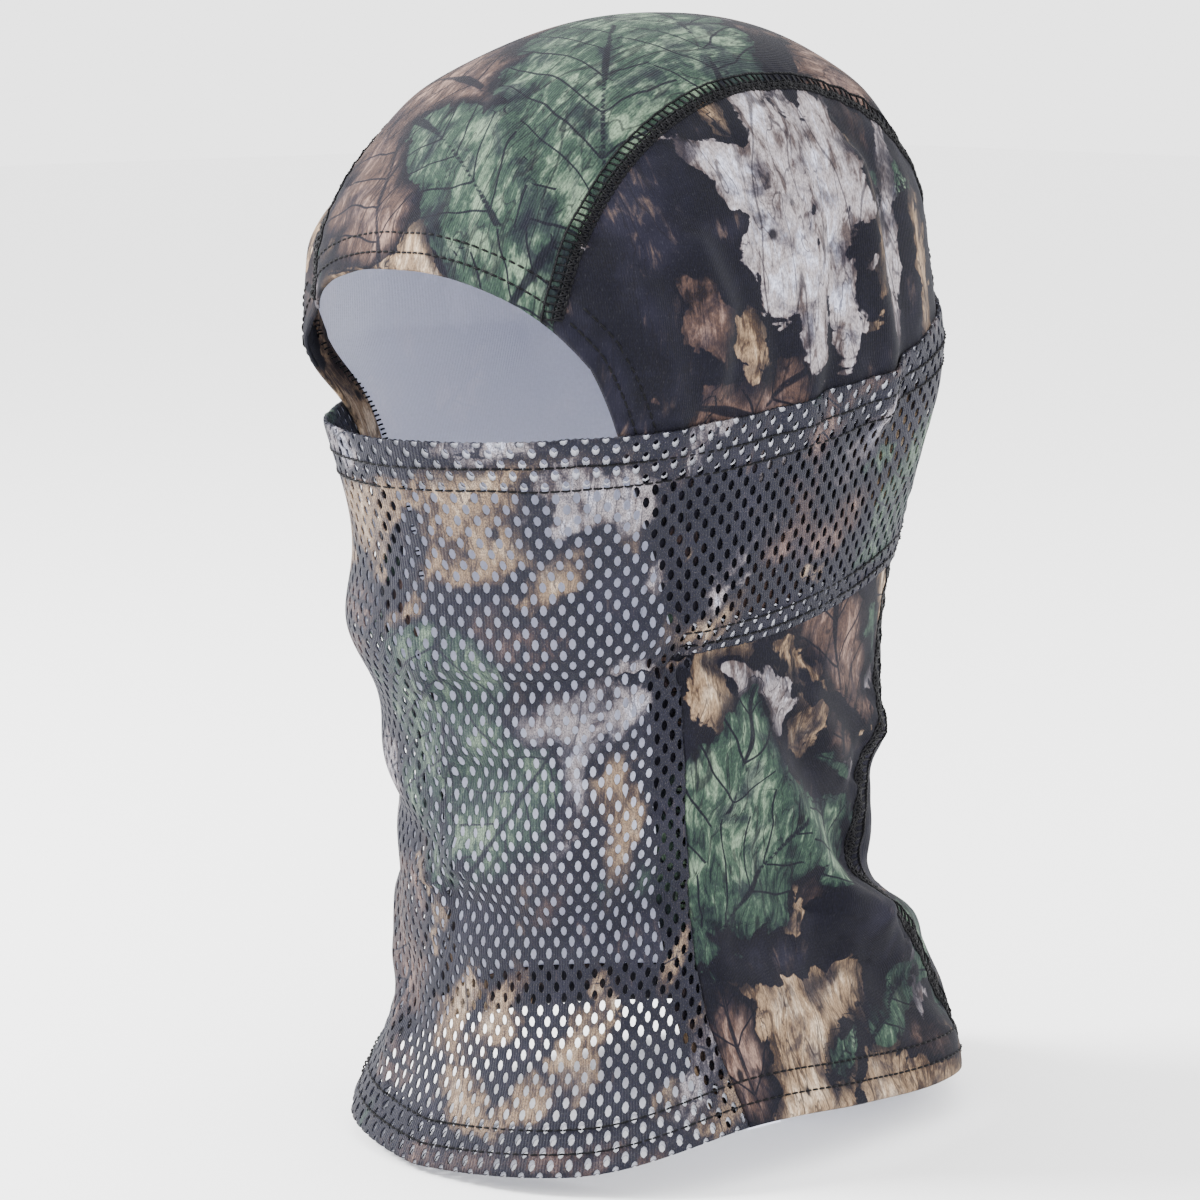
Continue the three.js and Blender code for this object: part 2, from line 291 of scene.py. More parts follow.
def slack(p):
    """How far the cloth stands off its smooth shape."""
    a = np.degrees(bearing_of(p)) * MM_PER_DEGREE
    b = p[:, 2]
    total = 0.5 * np.sin(p[:, 0] / 13 + b / 21) * np.sin(p[:, 1] / 17 - b / 15)
    for points, rise, width in ALL_FOLDS:
        away, signed = beside_fold(a, b, points)
        crest = np.exp(-((away / width) ** 2))
        hollow = np.exp(-((signed / width - 1.9) ** 2) / 1.2)
        total += rise * (crest - (0.45 * hollow if width < 12 else 0))
    seam = (np.abs(p[:, 0]) - CROWN_HALF) / 5
    pucker = 0.45 * np.sin(p[:, 1] * 0.7 + 1.3 * np.sin(b * 0.11)) * np.sin(b * 0.55 + p[:, 1] * 0.3)
    total += np.exp(-(seam**2)) * (pucker - 0.6)
    flattened = 2.4 * np.exp(-((p[:, 0] ** 2 + p[:, 1] ** 2) / 50**2)) * (b > -DOME)
    return total * smooth((CROWN_TOP - 2 - b) / 30) - flattened


def drape(p, lift=0.0):
    """Points of the smooth shape, moved out by the folds and by a layer's own lift."""
    return p + outward(p) * (slack(p) + lift)[:, None]


def folded(distance, radius=FOLD_ROUND):
    """Distance from a folded edge and lift, for cloth measured across the fold."""
    turn = np.clip(distance / radius, -math.pi / 2, math.pi / 2)
    beyond = np.maximum(np.abs(distance) - radius * math.pi / 2, 0)
    return radius * (1 - np.cos(turn)) + beyond, -radius * (1 - np.sin(turn))


# ---- edges and seams as tracks on the cloth ------------------------------------------------------
class Track:
    """A line on the smooth hood, measured along its length."""

    def __init__(self, points):
        self.points = points
        steps = np.linalg.norm(np.diff(points, axis=0), axis=1)
        self.at = np.concatenate([[0], np.cumsum(steps)])
        self.length = self.at[-1]

    def place(self, s):
        return np.stack([np.interp(s, self.at, self.points[:, k]) for k in range(3)], axis=-1)

    def beside(self, s, d):
        """Points on the cloth d beside the track; a positive d is to its left, seen from outside."""
        here = self.place(s)
        along = self.place(np.minimum(s + 1, self.length)) - self.place(np.maximum(s - 1, 0))
        along /= np.linalg.norm(along, axis=1, keepdims=True)
        moved = here + np.cross(outward(here), along) * np.asarray(d)[:, None]
        short = (1 - spread(moved)) * np.linalg.norm(moved[:, :2], axis=1)
        return moved + outward(moved) * short[:, None]


def mirrored(points):
    return points * np.array([-1, 1, 1])


def edge_forward(z):
    return through(EDGE_LEVELS, EDGE_FORWARD, z)


def side_cloth(y, z):
    """The left side's cloth at a place seen from the side."""
    origin = np.stack([np.zeros_like(y), y, z], axis=-1)
    return cast(origin, np.tile([1.0, 0.0, 0.0], (len(y), 1)))


def brow_level():
    """The level at which the eye opening's edge meets the hood's middle line."""
    low, high = -122.0, -71.0
    for _ in range(30):
        z = (low + high) / 2
        inside = spread(np.array([[0.001, edge_forward(z), z]]))[0] < 1
        low, high = (z, high) if inside else (low, z)
    return low


def opening_edge():
    """The eye opening's edge from the middle of the brow to the wearer's left jaw."""
    top = brow_level()
    z = top - (top - JAW) * np.linspace(0, 1, 500) ** 2
    points = side_cloth(edge_forward(z), z)
    points[0, 0] = 0
    return points


def crown_section(x):
    """The hood's section at one distance from the middle, from the face over the top to the hem."""
    turn = np.linspace(0, math.pi, 260)
    over = cast(
        np.tile([x, -6.0, -DOME], (len(turn), 1)),
        np.stack([np.zeros_like(turn), -np.cos(turn), np.sin(turn)], axis=-1),
    )
    z = np.linspace(-DOME - 2, -358, 170)
    down = cast(
        np.stack([np.full_like(z, x), np.full_like(z, -6.0), z], axis=-1),
        np.tile([0.0, 1.0, 0.0], (len(z), 1)),
    )
    points = np.concatenate([over, down])
    behind_edge = points[:, 1] - edge_forward(points[:, 2])
    above_hem = points[:, 2] - edge(NECK_HEM, bearing_of(points))
    track = Track(points)
    first = np.argmax(behind_edge > 0)
    start = np.interp(0, behind_edge[first - 1 : first + 1], track.at[first - 1 : first + 1])
    last = len(points) - 1 - np.argmax(above_hem[::-1] > 0)
    end = np.interp(0, -above_hem[last : last + 2], track.at[last : last + 2])
    s = np.linspace(start, end, 700)
    top = np.interp(math.pi / 2, turn, track.at[: len(turn)])
    return track.place(s), s - top


left_opening = Track(opening_edge())
whole_opening = Track(np.concatenate([mirrored(left_opening.points[:0:-1]), left_opening.points]))
left_crown_seam = Track(crown_section(CROWN_HALF)[0])
right_crown_seam = Track(mirrored(left_crown_seam.points))


def join_edge():
    z = np.linspace(JAW, -358, 200)
    points = side_cloth(edge_forward(z), z)
    return points[points[:, 2] > edge(NECK_HEM, bearing_of(points))]


left_join = Track(join_edge())
right_join = Track(mirrored(left_join.points))
JOIN_LEVELS = left_join.points[::-1, 2]
JOIN_BEARINGS = bearing_of(left_join.points[::-1])


def join_bearing(z):
    return np.interp(z, JOIN_LEVELS, JOIN_BEARINGS)


def ring(levels, up=0.0):
    """A line all round the hood, a little above one of its edges."""
    bearing = np.linspace(-math.pi, math.pi, 900)
    return cloth_at(bearing, edge(levels, bearing) + up)


# ---- the printed camouflage ----------------------------------------------------------------------
# Each motif: shape, colour, centre across and along the cloth, turn in degrees, length and width.
CROWN_MOTIFS = [
    ("patch", "tan", -4, -136, 84, 104, 30),
    ("patch", "tan", -34, -112, 20, 46, 34),
    ("leaf", "brown", -26, -92, 20, 92, 50),
    ("leaf", "brown", -30, -58, 66, 88, 40),
    ("patch", "brown", -20, -20, 70, 96, 30),
    ("leaf", "tan", -44, -30, -20, 50, 22),
    ("leaf", "green", 36, -84, 0, 116, 58),
    ("leaf", "green", 26, -40, 40, 110, 66),
    ("leaf", "green", 8, -98, 62, 74, 34),
    ("leaf", "green", 44, -128, -14, 50, 28),
    ("leaf", "green", 26, -6, 70, 70, 40),
    ("patch", "brown", 40, 44, 40, 60, 30),
    ("patch", "tan", 10, 40, 10, 44, 26),
    ("leaf", "brown", -30, 62, -50, 90, 48),
    ("leaf", "green", -18, 112, 30, 96, 50),
    ("patch", "pale", 26, 128, -20, 90, 34),
    ("leaf", "tan", -18, 178, 55, 92, 44),
    ("leaf", "brown", 26, 218, -10, 84, 42),
    ("leaf", "green", -8, 262, -60, 92, 46),
    ("patch", "tan", 24, 300, 20, 70, 30),
    ("leaf", "green", -30, 340, 15, 80, 40),
]
SIDE_MOTIFS = [
    ("patch", "dark", -52, -66, -30, 110, 60),
    ("patch", "brown", 8, -18, 60, 70, 26),
    ("patch", "pale", 2, -40, 4, 70, 40),
    ("patch", "pale", -20, -48, 60, 44, 26),
    ("patch", "pale", -8, -58, 14, 60, 40),
    ("patch", "tan", 20, -60, 8, 84, 34),
    ("patch", "pale", 12, -56, 8, 86, 26),
    ("patch", "pale", -2, -86, 8, 44, 16),
    ("patch", "dark", 22, -84, 4, 34, 6),
    ("patch", "pale", 42, -70, -6, 56, 12),
    ("patch", "tan", 62, -86, 4, 50, 14),
    ("patch", "brown", -44, -92, 15, 30, 18),
    ("patch", "tan", -28, -100, 10, 20, 16),
    ("patch", "brown", 10, -196, 60, 90, 34),
    ("leaf", "brown", 30, -206, 12, 66, 46),
    ("patch", "tan", -26, -204, -20, 34, 22),
    ("patch", "tan", 6, -222, 32, 66, 28),
    ("patch", "pale", -8, -211, 44, 34, 16),
    ("patch", "dark", 30, -219, 62, 60, 5),
    ("leaf", "green", -22, -256, -10, 96, 58),
    ("leaf", "green", -2, -266, -48, 74, 40),
    ("leaf", "green", 32, -256, 20, 50, 30),
    ("patch", "dark", 24, -241, 70, 36, 10),
    ("patch", "dark", 10, -300, 80, 96, 18),
    ("patch", "tan", 34, -338, 80, 170, 50),
    ("patch", "tan", 38, -314, 60, 34, 22),
    ("patch", "tan", -6, -315, 76, 40, 16),
    ("leaf", "brown", -26, -322, 10, 46, 26),
    ("patch", "brown", 76, -334, 80, 36, 14),
    ("leaf", "green", 66, -320, -64, 40, 15),
    ("leaf", "green", 31, -329, -60, 24, 9),
    ("patch", "dark", 37, -335, -34, 26, 3.5),
    ("patch", "dark", 62, -299, 0, 34, 24),
    ("patch", "pale", 88, -306, -14, 44, 20),
    ("leaf", "green", 100, -300, 24, 76, 40),
    ("patch", "brown", 84, -240, 0, 60, 40),
    ("leaf", "tan", 76, -190, 30, 70, 36),
    ("patch", "tan", 70, -140, 80, 90, 40),
]
MESH_MOTIFS = [
    ("patch", "tan", 20, 26, 78, 96, 44),
    ("patch", "dark", 2, 40, 30, 34, 14),
    ("patch", "tan", -2, 66, 34, 38, 14),
    ("patch", "brown", 28, 62, 60, 54, 16),
    ("patch", "pale", 64, 22, 70, 40, 24),
    ("patch", "dark", 48, 28, 10, 16, 8),
    ("patch", "tan", 58, 41, 62, 44, 12),
    ("patch", "dark", 72, 60, 20, 40, 34),
    ("patch", "pale", 57, 91, 62, 52, 24),
    ("leaf", "green", 6, 102, 10, 92, 52),
    ("leaf", "green", 30, 122, 40, 56, 28),
    ("patch", "tan", 72, 124, 4, 48, 18),
    ("patch", "brown", 46, 148, 30, 54, 12),
    ("patch", "dark", 46, 170, 50, 60, 22),
    ("patch", "tan", 24, 184, 48, 40, 14),
    ("patch", "tan", 57, 196, 40, 32, 20),
    ("patch", "tan", 40, 211, 56, 30, 12),
    ("patch", "brown", 30, 228, 84, 90, 12),
    ("leaf", "brown", -34, 170, 20, 70, 40),
    ("leaf", "green", -70, 100, -10, 80, 44),
    ("patch", "tan", -52, 40, 70, 62, 28),
    ("patch", "pale", -78, 180, 20, 60, 24),
    ("patch", "dark", 112, 30, 30, 60, 40),
    ("patch", "pale", 122, 50, 62, 44, 14),
    ("patch", "tan", 106, 66, 60, 40, 14),
    ("patch", "brown", 150, 42, 70, 60, 30),
    ("patch", "pale", 176, 22, 66, 40, 14),
    ("leaf", "green", 214, 50, 70, 80, 40),
    ("leaf", "tan", 262, 34, 80, 70, 36),
    ("leaf", "brown", -130, 40, 70, 90, 44),
    ("patch", "pale", -180, 44, 60, 60, 24),
    ("leaf", "green", -238, 40, 80, 90, 44),
]


def motif_depth(kind, x, y, length, width, chance):
    """How deep a place lies inside a motif; negative outside."""
    if kind == "leaf":
        along = np.clip(y / length + 0.5, 0, 1)
        lobes = 1 + 0.34 * np.abs(np.sin(along * math.pi * 3.5)) ** 0.7 - 0.2
        half = width / 2 * np.sin(math.pi * along**0.8) ** 0.7 * lobes
        return np.minimum(half - np.abs(x), length / 2 - np.abs(y) + 1)
    turn = np.arctan2(x / width, y / length)
    rim = 1 + sum(0.34 / k * np.cos(k * turn + chance.uniform(0, 6.3)) for k in (2, 3, 5, 8, 11))
    return (rim - np.hypot(2 * x / width, 2 * y / length)) * width / 2


def print_cloth(mesh, flat, motifs, seed):
    """Store, for every point of a cloth, how deep it lies in each colour, and its place on its leaf."""
    chance = np.random.default_rng(seed)
    low, high = flat.min(axis=0), flat.max(axis=0)
    scattered = []
    for _ in range(int(np.prod(high - low) / 900)):
        kind = "leaf" if chance.random() < 0.5 else "patch"
        colour = ("tan", "brown", "brown", "pale", "green")[chance.integers(5)]
        size = chance.uniform(16, 44)
        place = chance.uniform(low, high)
        turn = chance.uniform(-90, 90)
        scattered.append((kind, colour, *place, turn, size, size * chance.uniform(0.3, 0.6)))
    depth = {colour: np.full(len(flat), -30.0) for colour in ("tan", "pale", "brown", "green")}
    leaf = np.zeros((len(flat), 2))
    for layer, (kind, colour, x, y, turn, length, width) in enumerate(scattered + motifs):
        angle = math.radians(turn)
        dx, dy = flat[:, 0] - x, flat[:, 1] - y
        across = dx * math.cos(angle) + dy * math.sin(angle)
        along = -dx * math.sin(angle) + dy * math.cos(angle)
        deep = motif_depth(kind, across, along, length, width, chance)
        for other in depth:
            if other != colour and layer >= len(scattered):
                depth[other] = np.minimum(depth[other], -deep - 1)
        if colour in depth:
            depth[colour] = np.maximum(depth[colour], deep)
        if kind == "leaf":
            on_leaf = deep > -3
            leaf[on_leaf] = np.stack([along, np.abs(across)], axis=-1)[on_leaf]
        elif layer >= len(scattered):
            leaf[deep > -3] = 0
    store(mesh, "ground", np.stack([depth["tan"], depth["pale"], depth["brown"]], axis=-1))
    store(mesh, "leaf", np.column_stack([depth["green"], leaf]))


def store(mesh, name, values):
    layer = mesh.attributes.new(name, "FLOAT_VECTOR", "POINT")
    layer.data.foreach_set("vector", np.ascontiguousarray(values, np.float32).ravel())


# ---- materials -----------------------------------------------------------------------------------
class Nodes:
    """Shorthand for one material's nodes."""

    def __init__(self, name, roughness):
        self.material = bpy.data.materials.new(name)
        self.material.use_nodes = True
        self.tree = self.material.node_tree
        self.shader = self.tree.nodes["Principled BSDF"]
        self.shader.inputs["Roughness"].default_value = roughness

    def add(self, kind, **settings):
        node = self.tree.nodes.new(kind)
        for name, value in settings.items():
            setattr(node, name, value)
        return node

    def wire(self, value, socket):
        if isinstance(value, bpy.types.NodeSocket):
            self.tree.links.new(value, socket)
        else:
            socket.default_value = value

    def math(self, operation, a, b=0.0, c=0.0):
        node = self.add("ShaderNodeMath", operation=operation)
        for value, socket in zip((a, b, c), node.inputs):
            self.wire(value, socket)
        return node.outputs[0]

    def ramp(self, value, low, high):
        """0 at low, 1 at high and smooth between."""
        node = self.add("ShaderNodeMapRange", interpolation_type="SMOOTHSTEP")
        self.wire(value, node.inputs["Value"])
        node.inputs["From Min"].default_value = low
        node.inputs["From Max"].default_value = high
        return node.outputs["Result"]

    def mix(self, share, a, b):
        node = self.add("ShaderNodeMix", data_type="RGBA")
        self.wire(share, node.inputs["Factor"])
        for value, name in ((a, "A_Color"), (b, "B_Color")):
            socket = next(s for s in node.inputs if s.identifier == name)
            self.wire((*value, 1) if isinstance(value, tuple) else value, socket)
        return next(s for s in node.outputs if s.identifier == "Result_Color")

    def flat_place(self, stretch=(1, 1)):
        """The place on the flat cloth, in millimetres."""
        uv = self.add("ShaderNodeUVMap", uv_map="cloth")
        mapping = self.add("ShaderNodeMapping")
        mapping.inputs["Scale"].default_value = (stretch[0] / MM, stretch[1] / MM, 1)
        self.wire(uv.outputs[0], mapping.inputs["Vector"])
        return mapping.outputs[0]

    def noise(self, place, scale, detail=3.0, rough=0.55, warp=0.0):
        node = self.add("ShaderNodeTexNoise")
        self.wire(place, node.inputs["Vector"])
        node.inputs["Scale"].default_value = scale
        node.inputs["Detail"].default_value = detail
        node.inputs["Roughness"].default_value = rough
        node.inputs["Distortion"].default_value = warp
        return node.outputs["Fac"]

    def bump(self, height, strength, distance):
        node = self.add("ShaderNodeBump")
        node.inputs["Strength"].default_value = strength
        node.inputs["Distance"].default_value = distance
        self.wire(height, node.inputs["Height"])
        self.wire(node.outputs[0], self.shader.inputs["Normal"])

    def split(self, name):
        attribute = self.add("ShaderNodeAttribute", attribute_name=name)
        parts = self.add("ShaderNodeSeparateXYZ")
        self.wire(attribute.outputs["Vector"], parts.inputs[0])
        return parts.outputs


def line_noise(n, place, scale, width, warp=0.8):
    """Thin wandering lines, 1 on a line and 0 between."""
    level = n.noise(place, scale, 2, 0.5, warp)
    away = n.math("ABSOLUTE", n.math("SUBTRACT", level, 0.5))
    return n.math("SUBTRACT", 1.0, n.ramp(away, width * 0.4, width))


def shaded(n, tone, dark, middle, light):
    """Three tones of one colour, blended by a value from 0 to 1."""
    low = n.mix(n.ramp(tone, 0.30, 0.52), dark, middle)
    return n.mix(n.ramp(tone, 0.52, 0.78), low, light)


def leaf_veins(n, along, across, wobble):
    """Dark veins: one down the middle of the leaf, others slanting out of it."""
    slant = n.math("MULTIPLY_ADD", across, -0.85, along)
    wander = n.math("MULTIPLY_ADD", wobble, 12.0, slant)
    comb = n.math("ABSOLUTE", n.math("SUBTRACT", n.math("FRACT", n.math("DIVIDE", wander, 13.0)), 0.5))
    side = n.math("SUBTRACT", 1.0, n.ramp(comb, 0.018, 0.05))
    sway = n.math("MULTIPLY_ADD", n.math("SUBTRACT", wobble, 0.5), 4.0, across)
    middle = n.math("SUBTRACT", 1.0, n.ramp(sway, 0.5, 1.2))
    return n.math("MULTIPLY", n.math("MAXIMUM", side, middle), n.ramp(across, 0.0, 0.2))


def camouflage(n, blur=0.4):
    """The printed pattern: leaves and bark over a dark ground, with veins, shadows, twigs and specks."""
    place = n.flat_place()
    tan, pale, brown = n.split("ground")
    green, along, across = n.split("leaf")
    rag = n.noise(place, 0.11, 4, 0.52, 0.5)
    shift = n.math("MULTIPLY_ADD", rag, 15, -7.5)
    brush = n.noise(n.flat_place((0.30, 0.10)), 1.0, 5, 0.62, 0.7)
    cloud = n.noise(place, 0.045, 3, 0.5, 0.3)
    gloom = n.ramp(n.noise(place, 0.06, 4, 0.6, 0.9), 0.48, 0.70)
    wobble = n.noise(place, 0.035, 2, 0.5)
    tone = n.math("ADD", brush, n.math("MULTIPLY_ADD", cloud, 0.8, -0.4))

    colour = n.mix(n.ramp(cloud, 0.40, 0.66), (0.022, 0.022, 0.036), (0.066, 0.064, 0.092))
    colour = n.mix(n.ramp(tone, 0.58, 0.84), colour, (0.26, 0.205, 0.175))
    layers = (
        (brown, (0.055, 0.042, 0.042), (0.19, 0.140, 0.120), (0.40, 0.31, 0.27)),
        (tan, (0.16, 0.12, 0.090), (0.42, 0.335, 0.25), (0.68, 0.59, 0.49)),
        (pale, (0.20, 0.17, 0.165), (0.48, 0.45, 0.46), (0.68, 0.69, 0.78)),
        (green, (0.030, 0.048, 0.050), (0.105, 0.155, 0.122), (0.32, 0.39, 0.31)),
    )
    for depth, dark, middle, light in layers:
        inside = n.math("ADD", depth, shift)
        shadow = n.ramp(inside, -9.0, 0.0)
        colour = n.mix(n.math("MULTIPLY", shadow, 0.8), colour, (0.018, 0.018, 0.030))
        rim = n.ramp(inside, 0.0, 7.0)
        lit = n.math("MULTIPLY_ADD", rim, 0.16, n.math("ADD", tone, -0.08))
        fill = shaded(n, lit, dark, middle, light)
        colour = n.mix(n.ramp(inside, -blur, blur), colour, fill)
    colour = n.mix(n.math("MULTIPLY", gloom, 0.62), colour, (0.030, 0.030, 0.056))
    veins = n.math("MULTIPLY", leaf_veins(n, along, across, wobble), 0.85)
    colour = n.mix(veins, colour, (0.014, 0.016, 0.032))

    twigs = line_noise(n, n.flat_place((0.030, 0.006)), 1.0, 0.006, 0.5)
    cracks = line_noise(n, n.flat_place((0.10, 0.025)), 1.0, 0.016, 1.2)
    colour = n.mix(n.math("MULTIPLY", twigs, 0.5), colour, (0.020, 0.018, 0.026))
    colour = n.mix(n.math("MULTIPLY", cracks, 0.45), colour, (0.030, 0.026, 0.034))
    cells = n.add("ShaderNodeTexVoronoi")
    n.wire(n.flat_place((0.055, 0.038)), cells.inputs["Vector"])
    cells.inputs["Scale"].default_value = 1.0
    speck = n.math("SUBTRACT", 1.0, n.ramp(cells.outputs["Distance"], 0.05, 0.11))
    colour = n.mix(n.math("MULTIPLY", speck, 0.85), colour, (0.020, 0.018, 0.024))
    deepen = n.add("ShaderNodeGamma")
    n.wire(colour, deepen.inputs["Color"])
    deepen.inputs["Gamma"].default_value = 1.75
    return deepen.outputs[0]


def knit_height(n, wale, course):
    """Fine upright ribs of the knit, broken into loops."""
    across = n.math("SINE", n.math("MULTIPLY", place_part(n, 0), 2 * math.pi / wale))
    down = n.math("SINE", n.math("MULTIPLY", place_part(n, 1), 2 * math.pi / course))
    return n.math("MULTIPLY_ADD", across, n.math("MULTIPLY_ADD", down, 0.25, 0.75), 0.0)


def place_part(n, index):
    parts = n.add("ShaderNodeSeparateXYZ")
    n.wire(n.flat_place(), parts.inputs[0])
    return parts.outputs[index]


def printed_knit():
    n = Nodes("printed_knit", 0.92)
    nap = n.noise(n.flat_place((1.9, 0.75)), 1.0, 3, 0.62)
    grain = n.ramp(nap, 0.38, 0.62)
    colour = n.mix(n.math("MULTIPLY_ADD", grain, -0.46, 0.46), camouflage(n), (0.010, 0.010, 0.018))
    # Lighter flecks where the nap stands high: partly the fibres' own lighter colour, partly a painted
    # highlight on the nap.
    colour = n.mix(n.math("MULTIPLY", n.ramp(nap, 0.50, 0.80), 0.14), colour, (0.10, 0.10, 0.135))
    n.wire(colour, n.shader.inputs["Base Color"])
    n.shader.inputs["Sheen Weight"].default_value = 0.02
    n.shader.inputs["Sheen Roughness"].default_value = 0.5
    n.shader.inputs["Specular IOR Level"].default_value = 0.12
    n.bump(n.math("ADD", n.math("MULTIPLY", knit_height(n, 0.75, 0.9), 0.35), nap), 0.45, 0.0003)
    return n.material


def printed_mesh():
    n = Nodes("printed_mesh", 0.62)
    yarn = n.noise(n.flat_place((2.6, 1.7)), 1.0, 2, 0.6)
    grain = n.ramp(yarn, 0.40, 0.60)
    colour = n.mix(n.math("MULTIPLY_ADD", grain, -0.58, 0.70), camouflage(n, 1.6), (0.008, 0.009, 0.022))
    # Light grey flecks on the yarn: partly the yarn's own lighter colour, partly painted highlights on
    # the strands.
    colour = n.mix(n.math("MULTIPLY", n.ramp(yarn, 0.54, 0.72), 0.22), colour, (0.20, 0.19, 0.22))
    n.wire(colour, n.shader.inputs["Base Color"])
    n.shader.inputs["Specular IOR Level"].default_value = 0.16
    n.shader.inputs["Sheen Weight"].default_value = 0.02
    n.bump(n.math("ADD", n.math("MULTIPLY", knit_height(n, 1.0, 1.18), 0.5), yarn), 0.8, 0.0004)
    return n.material


def reverse_cloth(name, colour):
    """The unprinted inner face: pale, with the print only just showing through."""
    n = Nodes(name, 0.95)
    fuzz = n.noise(n.flat_place(), 0.9, 4, 0.7)
    base = n.mix(n.ramp(fuzz, 0.2, 0.8), tuple(0.85 * c for c in colour), colour)
    n.wire(n.mix(0.16, base, camouflage(n)), n.shader.inputs["Base Color"])
    n.bump(n.math("ADD", n.math("MULTIPLY", knit_height(n, 0.75, 0.9), 0.4), fuzz), 0.4, 0.0003)
    return n.material


def black_thread():
    n = Nodes("black_thread", 0.6)
    coordinates = n.add("ShaderNodeTexCoord")
    ply = n.noise(coordinates.outputs["Object"], 2600, 2, 0.6)
    colour = n.mix(n.ramp(ply, 0.35, 0.7), (0.0008, 0.0008, 0.001), (0.004, 0.004, 0.006))
    n.wire(colour, n.shader.inputs["Base Color"])
    n.shader.inputs["Specular IOR Level"].default_value = 0.1
    n.bump(ply, 0.5, 0.0001)
    return n.material


KNIT = (printed_knit(), reverse_cloth("knit_reverse", (0.69, 0.71, 0.84)))
MESH = (printed_mesh(), reverse_cloth("mesh_reverse", (0.50, 0.51, 0.58)))
THREAD = black_thread()


# ---- making the pieces ---------------------------------------------------------------------------
def add_object(name, data):
    piece = bpy.data.objects.new(name, data)
    bpy.context.scene.collection.objects.link(piece)
    return piece


def take_mesh(helper, name):
    """The finished mesh of a helper object, which is then removed."""
    bpy.context.view_layer.update()
    evaluated = helper.evaluated_get(bpy.context.evaluated_depsgraph_get())
    mesh = bpy.data.meshes.new_from_object(evaluated)
    mesh.name = name
    bpy.data.objects.remove(helper)
    return mesh


def flat_points(mesh):
    """Where a flat mesh's vertices lie, across and along."""
    grid = np.empty(len(mesh.vertices) * 3)
    mesh.vertices.foreach_get("co", grid)
    return grid.reshape(-1, 3)[:, :2].copy()


def finish_cloth(mesh, points, flat, motifs, seed, materials, thickness):
    """Put a flat cloth into its worn shape, with its print, its two faces and its thickness."""
    mesh.vertices.foreach_set("co", np.ascontiguousarray(points * MM, np.float32).ravel())
    mesh.update()
    centre = np.array([0, AXIS_Y * MM, -0.15])
    sample = list(mesh.polygons)[:: max(1, len(mesh.polygons) // 50)]
    facing = [np.dot(np.array(face.normal)[:2], (np.array(face.center) - centre)[:2]) for face in sample]
    if np.median(facing) < 0:
        mesh.flip_normals()
    corners = np.empty(len(mesh.loops), int)
    mesh.loops.foreach_get("vertex_index", corners)
    layer = mesh.uv_layers.new(name="cloth")
    layer.data.foreach_set("uv", np.ascontiguousarray(flat[corners] * MM, np.float32).ravel())
    print_cloth(mesh, flat, motifs, seed)
    for material in materials:
        mesh.materials.append(material)
    mesh.shade_smooth()
    piece = add_object(mesh.name, mesh)
    wall = piece.modifiers.new("thickness", "SOLIDIFY")
    wall.thickness = thickness * MM
    wall.offset = -1
    wall.material_offset = 1
    return piece


def knit_sheet(name, columns, rows, shape, motifs, seed):
    """A knitted panel: shape turns shares across and along it into worn points and flat places."""
    bm = bmesh.new()
    bmesh.ops.create_grid(bm, x_segments=columns, y_segments=rows, size=0.5)
    mesh = bpy.data.meshes.new(name)
    bm.to_mesh(mesh)
    bm.free()
    share = flat_points(mesh) + 0.5
    points, flat = shape(share[:, 0], share[:, 1])
    return finish_cloth(mesh, points, flat, motifs, seed, KNIT, KNIT_THICK)


def crown_shape(across, along):
    """The centre panel: sections side by side, folded in at the brow and at the neck."""
    columns = np.unique(np.round(across, 6))
    sections = [crown_section((CROWN_HALF + SEAM_LAP) * (2 * share - 1)) for share in columns]
    line = np.rint(across * (len(columns) - 1)).astype(int)
    steps = np.linspace(0, 1, len(sections[0][0]))
    points = np.empty((len(across), 3))
    flat = np.empty((len(across), 2))
    lift = np.zeros(len(across))
    for k, (track, lengths) in enumerate(sections):
        mine = line == k
        whole = lengths[-1] - lengths[0]
        paper = along[mine] * (whole + 2 * HEM) - HEM
        from_brow, lift_brow = folded(paper)
        from_hem, lift_hem = folded(whole - paper)
        front = paper < whole / 2
        share = np.where(front, from_brow, whole - from_hem) / whole
        lift[mine] = np.where(front, lift_brow, lift_hem)
        for axis in range(3):
            points[mine, axis] = np.interp(share, steps, track[:, axis])
        flat[mine, 1] = paper + lengths[0]
    flat[:, 0] = points[:, 0]
    lift -= 0.12 * smooth((np.abs(points[:, 0]) - CROWN_HALF) / SEAM_LAP + 1)
    return drape(points, lift), flat


def side_flat(p, hand):
    """The place on a side panel laid flat: across from below the ear, and up."""
    bearing = np.abs(bearing_of(p))
    level = np.minimum(p[:, 2], -DOME)
    mean = (through(LEVELS, HALF_WIDTH, level) + through(LEVELS, BACK, level)) / 2
    rise = np.arctan2(np.maximum(p[:, 2] + DOME, 0), np.hypot(p[:, 0], p[:, 1] - AXIS_Y))
    return np.stack([hand * (bearing - math.pi / 2) * mean * np.cos(rise), level + 95 * rise], axis=-1)


